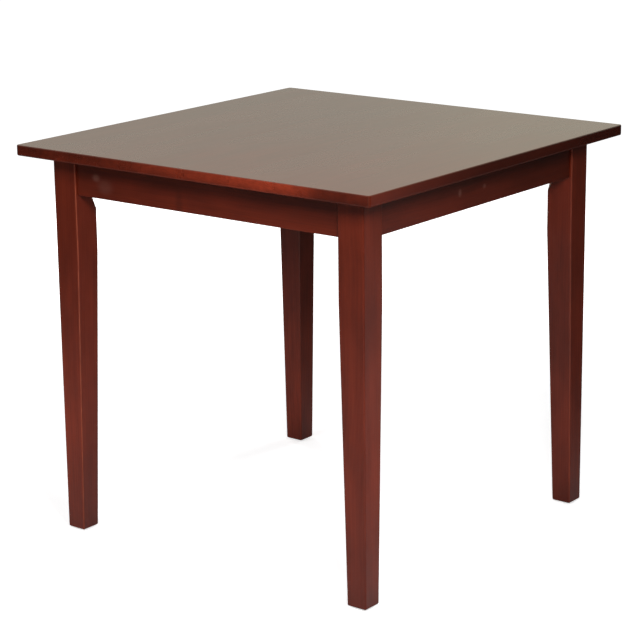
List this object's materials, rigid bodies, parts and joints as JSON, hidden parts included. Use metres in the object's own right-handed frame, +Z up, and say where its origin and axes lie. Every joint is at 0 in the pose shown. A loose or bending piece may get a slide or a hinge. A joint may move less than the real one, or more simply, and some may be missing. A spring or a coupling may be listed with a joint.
{
  "type": "square dining table",
  "caption": "Square dining table with a thin flat top, low set-back aprons and square legs tapered on their inner faces, bolted to corner blocks under the top.",
  "frame": {"origin": "on the floor under the middle of the top", "axes": "+Z up, the front of the table towards -Y, +X to its right"},
  "size_m": [0.8, 0.8, 0.743],
  "materials": {
    "top_wood": "red-brown stain under a semi-gloss lacquer",
    "apron_wood": "red-brown stain under a semi-gloss lacquer",
    "leg_wood": "red-brown stain under a semi-gloss lacquer",
    "block_wood": "planed, unfinished",
    "zinc_steel": "zinc plated",
    "screw_steel": "yellow zinc plated",
    "nylon": "moulded, dark brown"
  },
  "bodies": {
    "root": {"top_board_1": "top_wood", "top_board_2": "top_wood", "top_board_3": "top_wood", "top_board_4": "top_wood", "top_board_5": "top_wood", "top_board_6": "top_wood", "top_board_7": "top_wood", "top_board_8": "top_wood", "apron_front": "apron_wood", "apron_right": "apron_wood", "apron_back": "apron_wood", "apron_left": "apron_wood", "leg_front_left": "leg_wood", "corner_block_front_left": "block_wood", "foot_glide_front_left": "nylon", "leg_front_right": "leg_wood", "corner_block_front_right": "block_wood", "foot_glide_front_right": "nylon", "leg_back_right": "leg_wood", "corner_block_back_right": "block_wood", "foot_glide_back_right": "nylon", "leg_back_left": "leg_wood", "corner_block_back_left": "block_wood", "foot_glide_back_left": "nylon", "hanger_bolts": "zinc_steel", "flat_washers": "zinc_steel", "spring_washers": "zinc_steel", "hex_nuts": "zinc_steel", "glide_nails": "zinc_steel", "block_screws": "screw_steel", "top_screws": "screw_steel", "pocket_screws": "screw_steel"}
  },
  "joints": []
}
